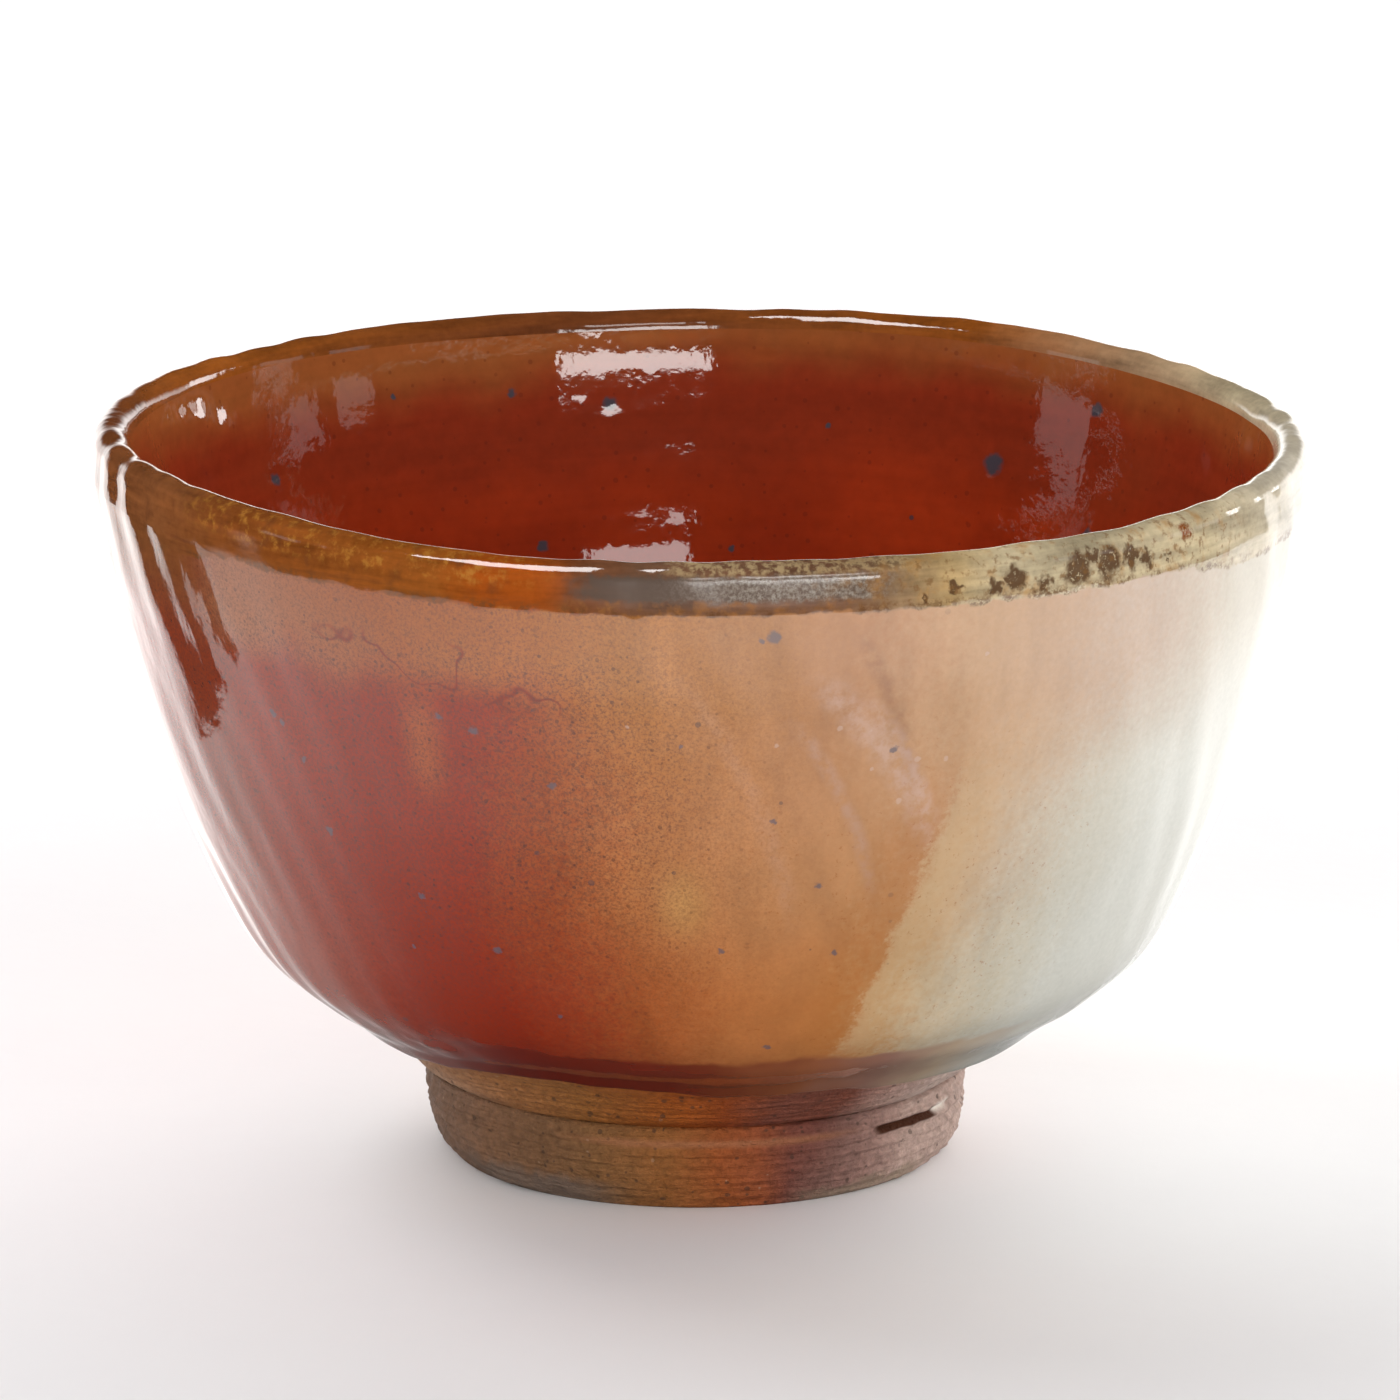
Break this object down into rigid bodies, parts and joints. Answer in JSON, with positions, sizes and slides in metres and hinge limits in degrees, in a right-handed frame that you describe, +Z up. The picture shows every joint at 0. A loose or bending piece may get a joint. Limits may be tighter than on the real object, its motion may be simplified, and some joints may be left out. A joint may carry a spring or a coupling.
{
  "type": "matcha bowl",
  "caption": "Wheel-thrown stoneware tea bowl on a trimmed foot ring, with wood-fired glaze outside, a glossy liner inside and a rounded, slightly wavy rim.",
  "frame": {"origin": "on the resting plane of the foot ring, under the centre of the mouth", "axes": "+Z up through the mouth, -Y towards the side with the broad amber and peach glaze, +X towards its grey-green side"},
  "size_m": [0.1202, 0.1198, 0.0742],
  "materials": {
    "bare_clay": "unglazed fired stoneware, sandy, with turning lines",
    "foot_clay": "unglazed fired stoneware, gritty, ochre to rust with grey ash",
    "wall_glaze": "glossy wood-fired glaze, deep red through amber and peach to grey-green, with fine dark specks",
    "lip_glaze": "glossy glaze breaking from amber to dark metallic brown and yellow-grey with iron blotches",
    "liner_glaze": "very glossy brick-red glaze, honey brown near the rim, with a few blue-grey iron spots"
  },
  "bodies": {
    "root": {"thrown_body": "bare_clay", "foot_ring": "foot_clay", "outer_glaze": "wall_glaze", "rim_glaze": "lip_glaze", "liner_glaze": "liner_glaze"}
  },
  "joints": []
}
